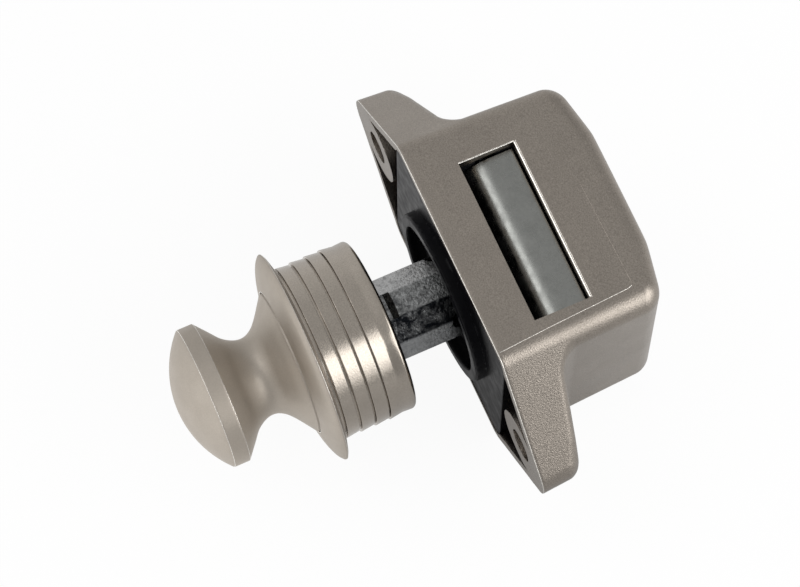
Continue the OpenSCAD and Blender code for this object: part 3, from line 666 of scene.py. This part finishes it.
def front_loop(inset):
    """Outline of case and lugs at the mounting face, without doubled points."""
    t = math.degrees(math.atan2(TAPER_N[1], TAPER_N[0]))
    q = np.vstack([arc(LUG_X, 0, LUG_R - inset, 0, t), arc(CORNER_X, CORNER_Z, CORNER_R - inset, t, 90)])
    q = np.vstack([q, q[::-1] * [-1, 1]])
    q = np.vstack([q, q[::-1] * [1, -1]])
    return q[np.linalg.norm(q - np.roll(q, 1, 0), axis=1) > 0.01]


def on_face(x, y, sunk=0.0):
    """A point on the long side that the bolt comes out of."""
    return (x, y, HALF_Z - y / DEPTH - sunk)


def edge_line(name, points, ring, owner=CASE, look=nickel_bright, closed=False, angle=60,
              axis=(0, 0, 1)):
    dress(tube(name, points, ring, closed, angle, axis), *owner, look)


edge_line("housing_front_edge", [(u, EDGE_IN, v) for u, v in front_loop(EDGE_IN)], circle(EDGE_R),
          closed=True, axis=(0, 1, 0))
CHIP_Y = SLOT_Y1 + CHIP_DEEP
edge_line("housing_slot_back_edge",
          [on_face(x, CHIP_Y) for x in np.linspace(SLOT_X0 - 0.05, SLOT_X1 + 0.05, 30)],
          [(-0.15, -0.1), (-0.15, -0.4), (0.15, -0.4), (0.15, 0.012)], angle=20)
edge_line("housing_slot_upper_edge", [on_face(SLOT_X0, y) for y in np.linspace(SLOT_Y0, CHIP_Y, 16)],
          [(0.07, 0.012), (-0.05, -0.09), (-0.05, -0.3), (0.07, -0.3)], angle=20)
PARTING = [(15.35, 0.4), (14.66, 9.5), (14.3, 15.6), (14.05, 19.3), (14.0, 19.9), (13.8, 20.5)]
edge_line("housing_parting_line", curve_through([on_face(*q) for q in PARTING], 8), circle(PARTING_R))
edge_line("housing_parting_line_back",
          [on_face(x, 20.4 + 0.02 * x, 0.02) for x in np.linspace(13.6, -2, 30)],
          circle(PARTING_R), look=nickel_cast)
edge_line("bolt_end_burr", [(BOLT_X1 - 0.05, y, BOLT_END - 0.04) for y in np.linspace(9.8, 14.2, 20)],
          circle(BURR_R), BOLT)

# Knob and rosette, turned about the Y axis

LIP, FLANGE = -24.0, -21.3
RIM = LIP - 12.42
RIM_B = RIM + 2.28
RIM_R, DOME_H, NECK_R, STEM_R = 10.15, 4.1, 5.65, 10.3
LIP_BORE, FLANGE_R = 10.38, 15.25
BARB, SKIRT, BARBS, PITCH, TAIL = 12.6, 10.95, 3, 2.16, 4.0
CORE = BARB - 0.36
UNDERCUTS = (0.27, 0.18, 0.12)  # Width of the groove behind each barb


def knob_profile():
    dome_r = (RIM_R ** 2 + DOME_H ** 2) / 2 / DOME_H
    steps = 30
    turn = math.asin((RIM_R - 0.12) / dome_r) / steps
    pts = [[dome_r * math.sin(turn * i), RIM - DOME_H + dome_r * (1 - math.cos(turn * i))]
           for i in range(steps + 1)]
    # The rim's rolled edge
    pts += [[RIM_R - 0.05, RIM - 0.01], [RIM_R - 0.01, RIM + 0.04], [RIM_R, RIM + 0.1],
            [RIM_R, RIM + 0.3], [RIM_R, RIM_B - 0.3], [RIM_R, RIM_B - 0.1],
            [RIM_R - 0.02, RIM_B - 0.03], [RIM_R - 0.07, RIM_B + 0.03], [RIM_R - 0.3, RIM_B + 0.22]]
    # The waist, out to the stem that slides in the rosette
    pts += curve_through([[RIM_R - 0.5, RIM_B + 0.39], [RIM_R - 2.0, RIM_B + 1.65],
                          [RIM_R - 3.18, RIM_B + 2.62], [NECK_R + 0.62, RIM_B + 3.5],
                          [NECK_R + 0.14, RIM_B + 4.5], [NECK_R, RIM_B + 5.4],
                          [NECK_R + 0.2, RIM_B + 6.3], [NECK_R + 0.85, RIM_B + 7.3],
                          [NECK_R + 2.05, RIM_B + 8.35], [NECK_R + 3.3, RIM_B + 9.25],
                          [9.75, RIM_B + 9.83], [10.05, RIM_B + 10.02]])
    # The stem with the snap ring's groove, and the hollow inside with the spindle's socket
    stem = [([10.18, RIM_B + 10.1], 0), ([STEM_R, LIP + 0.45], 0), ([STEM_R, LIP + 1.58], 0.05),
            ([9.85, LIP + 1.6], 0.05), ([9.85, LIP + 2.4], 0.05), ([STEM_R, LIP + 2.42], 0.05),
            ([STEM_R, LIP + 11.2], 0.2), ([9.1, LIP + 11.2], 0.2), ([9.1, LIP + 3.0], 0.3),
            ([7.8, LIP + 3.0], 0.3), ([7.8, LIP + 10.6], 0.2), ([5.9, LIP + 10.6], 0.1),
            ([5.9, LIP + 1.4], 0.1), ([0, LIP + 1.4], 0)]
    return pts + rounded(*zip(*stem), 3)


def flange_profile():
    edge = FLANGE - 0.62
    dish = FLANGE_R - LIP_BORE
    front = [[0.05, 0.14], [0.1, 0.2], [0.34, 0.45], [0.57, 0.78], [0.74, 1.1], [0.88, 1.46]]
    pts = [[LIP_BORE, LIP + 0.45], [LIP_BORE + 0.05, LIP + 0.22]]
    pts += curve_through([[LIP_BORE + a * dish, LIP + b] for a, b in front]
                         + [[FLANGE_R - 0.08, edge - 0.2]], 5)
    pts += [[FLANGE_R - 0.01, edge - 0.06], [FLANGE_R, edge], [FLANGE_R - 0.04, edge + 0.08],
            [FLANGE_R - 0.4, edge + 0.26], [FLANGE_R - 1.4, FLANGE - 0.06], [BARB + 0.2, FLANGE],
            [CORE + 0.06, FLANGE + 0.01], [CORE - 0.1, FLANGE + 0.02], [CORE - 0.6, FLANGE],
            [LIP_BORE + 0.5, LIP + 1.55], [LIP_BORE, LIP + 1.55]]
    return pts


def barrel_profile():
    first = FLANGE + 0.6
    last = first + BARBS * PITCH
    tail = last + TAIL
    pts = [[SKIRT, LIP + 1.65], [SKIRT + 0.6, FLANGE - 0.1], [CORE - 0.05, FLANGE - 0.1],
           [CORE, FLANGE + 0.07], [CORE, first - 0.34], [CORE - 0.5, first - 0.32],
           [CORE - 0.5, first - 0.02]]
    for i, gap in enumerate(UNDERCUTS):
        y = first + i * PITCH
        pts += [[BARB - 0.07, y], [BARB - 0.015, y + 0.02], [BARB, y + 0.07], [BARB - 0.01, y + 0.16],
                [BARB - 0.2, y + 1.98 - gap], [BARB - 0.21, y + 2.07 - gap],
                [BARB - 0.25, y + 2.1 - gap], [CORE - 0.4, y + 2.12 - gap], [CORE - 0.4, y + 2.14]]
    pts += [[BARB - 0.07, last], [BARB - 0.015, last + 0.02], [BARB, last + 0.07],
            [BARB - 0.01, last + 0.16], [BARB - 0.24, last + 1.85], [BARB - 0.25, last + 1.95],
            [BARB - 0.24, last + 2.2], [BARB - 0.2, last + 2.8], [BARB - 0.17, tail - 0.62],
            [BARB - 0.19, tail - 0.5], [BARB - 0.27, tail - 0.32], [BARB - 0.42, tail - 0.16],
            [BARB - 0.62, tail - 0.06], [BARB - 0.85, tail - 0.01], [SKIRT + 0.09, tail],
            [SKIRT, tail - 0.1]]
    return pts


dress(lathe("knob_turned", knob_profile()), *KNOB, nickel_knob)
dress(lathe("rosette_flange_turned", flange_profile()), *ROSETTE, nickel_knob)
dress(lathe("rosette_barrel_turned", barrel_profile()), *ROSETTE, nickel_turned)


def ring_edge(name, radius, y, r, owner):
    turn = np.linspace(0, 2 * np.pi, 200, endpoint=False)
    points = np.stack([radius * np.cos(turn), 0 * turn + y, radius * np.sin(turn)], 1)
    edge_line(name, points, circle(r, 8), owner, closed=True, axis=(0, 1, 0))


ring_edge("knob_rim_front_edge", RIM_R - 0.06, RIM + 0.03, 0.055, KNOB)
ring_edge("knob_rim_back_edge", RIM_R - 0.07, RIM_B - 0.03, 0.055, KNOB)
ring_edge("rosette_rim_edge", FLANGE_R - 0.06, FLANGE - 0.6, 0.06, ROSETTE)
ring_edge("rosette_lip_edge", LIP_BORE + 0.1, LIP + 0.24, 0.08, ROSETTE)

# Return springs, from the bolt's ears to the case: 27.2 mm long, less the bolt's throw of 9.35 mm

COILS, COIL_STEPS, COIL_R, WIRE_R = 13, 28, 1.225, 0.175


def spring(name, side):
    n = COILS * COIL_STEPS + 1
    a = np.linspace(0, 2 * np.pi * COILS, n)
    lo, hi = BOLT_TAIL + 2 + WIRE_R + 0.01, SPRING_END - WIRE_R - 0.01
    coil = np.stack([COIL_R * np.cos(a), COIL_R * np.sin(a), lo + (hi - lo) * np.linspace(0, 1, n)], 1)
    o = tube("spring_wire_" + name, coil + np.array([side * ROD_X, BOLT_MID, 0]), circle(WIRE_R))
    dress(o, "case", "return_spring_" + name, "spring_steel", steel_wire)
    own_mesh(o)


spring("left", -1)
spring("right", 1)

# Studio: two softboxes, and a room that metal mirrors, brighter or darker by direction. Each glow has
# its azimuth, elevation and strength

ROOM, GLOW_FOCUS = 0.38, 5.0
GLOWS = [(-110, -40, 0.70), (-65, 5, 0.68), (50, 0, 0.35), (110, -40, 0.56), (180, 10, 0.25),
         (-170, 76, 0.13), (10, -65, -0.14), (-105, 24, 0.6), (0, 15, -0.12)]
FILL = 0.75
FLOOR_HALF, FLOOR_GAP = 3.0, 0.00002
FLOOR_SEEN, FLOOR_MIRRORED = 0.93, 0.8


def direction(azimuth, elevation):
    a, e = math.radians(azimuth), math.radians(elevation)
    return (math.cos(a) * math.cos(e), math.sin(a) * math.cos(e), math.sin(e))


def room_light(nt, vector):
    """Brightness of the room in the direction given: an even level and a few wide soft glows."""
    total = ROOM
    for azimuth, elevation, amount in GLOWS:
        near = facing(nt, vector, direction(azimuth, elevation))
        glow = compute(nt, "EXPONENT", compute(nt, "MULTIPLY_ADD", near, GLOW_FOCUS, -GLOW_FOCUS))
        total = compute(nt, "MULTIPLY_ADD", glow, amount, total)
    return total


def mix_shader(nt, factor, first, second):
    mix = nt.nodes.new("ShaderNodeMixShader")
    for socket, source in zip(mix.inputs, (factor, first, second)):
        nt.links.new(source, socket)
    return mix.outputs[0]


def stage_floor():
    """White to the camera, the room to metal, and a plain pale floor to everything else."""
    z = min(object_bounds()[0].z, cad_box[0].z) - FLOOR_GAP
    s = FLOOR_HALF
    mesh = bpy.data.meshes.new("floor")
    mesh.from_pydata([(-s, -s, z), (s, -s, z), (s, s, z), (-s, s, z)], [], [(0, 1, 2, 3)])
    floor = bpy.data.objects.new("floor", mesh)
    scene.collection.objects.link(floor)
    m = bpy.data.materials.new("floor_white")
    m.use_nodes = True
    nt = m.node_tree
    out, bsdf = nt.nodes["Material Output"], nt.nodes["Principled BSDF"]
    bsdf.inputs["Base Color"].default_value = (0.9, 0.9, 0.9, 1)
    bsdf.inputs["Roughness"].default_value = 0.9
    bsdf.inputs["Specular IOR Level"].default_value = 0.1
    path = nt.nodes.new("ShaderNodeLightPath")
    seen = nt.nodes.new("ShaderNodeEmission")
    seen.inputs["Color"].default_value = (*WHITE, 1)
    place = nt.nodes.new("ShaderNodeNewGeometry")
    unit = nt.nodes.new("ShaderNodeVectorMath")
    unit.operation = "NORMALIZE"
    nt.links.new(place.outputs["Position"], unit.inputs[0])
    room = nt.nodes.new("ShaderNodeEmission")
    nt.links.new(room_light(nt, unit.outputs[0]), room.inputs["Strength"])
    to_camera = compute(nt, "MULTIPLY", path.outputs["Is Camera Ray"], FLOOR_SEEN)
    to_metal = compute(nt, "MULTIPLY", path.outputs["Is Glossy Ray"], FLOOR_MIRRORED)
    pale = mix_shader(nt, to_camera, bsdf.outputs[0], seen.outputs[0])
    nt.links.new(mix_shader(nt, to_metal, pale, room.outputs[0]), out.inputs["Surface"])
    mesh.materials.append(m)


def stage_world():
    """White to the camera, the room to metal, and an even fill light to everything else."""
    world = bpy.data.worlds.new("studio")
    scene.world = world
    world.use_nodes = True
    nt = world.node_tree
    nt.nodes.clear()
    out = nt.nodes.new("ShaderNodeOutputWorld")
    path = nt.nodes.new("ShaderNodeLightPath")
    where = nt.nodes.new("ShaderNodeTexCoord")
    fill, room, white = (nt.nodes.new("ShaderNodeBackground") for _ in range(3))
    for node in (fill, room, white):
        node.inputs["Color"].default_value = (*WHITE, 1)
    fill.inputs["Strength"].default_value = FILL
    white.inputs["Strength"].default_value = 1.0
    nt.links.new(room_light(nt, where.outputs["Generated"]), room.inputs["Strength"])
    clear = compute(nt, "MAXIMUM", path.outputs["Is Camera Ray"], path.outputs["Is Transmission Ray"])
    light = mix_shader(nt, path.outputs["Is Glossy Ray"], fill.outputs[0], room.outputs[0])
    nt.links.new(mix_shader(nt, clear, light, white.outputs[0]), out.inputs["Surface"])


def lamp(name, toward, distance, size, radiance):
    """A soft rectangular lamp that faces the object, placed in the direction given."""
    d = Vector(toward)
    data = bpy.data.lights.new(name, "AREA")
    data.shape = "RECTANGLE"
    data.size, data.size_y = size
    data.energy = radiance * math.pi * size[0] * size[1]
    o = bpy.data.objects.new(name, data)
    o.location = d * distance
    o.rotation_euler = d.to_track_quat("Z", "Y").to_euler()
    scene.collection.objects.link(o)


stage_floor()
stage_world()
lamp("softbox_right", direction(42.5, 32.5), 0.7, (0.6, 0.65), 2.2)
lamp("softbox_left", direction(-122, 54), 0.8, (0.46, 0.28), 1.25)
scene.view_settings.view_transform = "Standard"
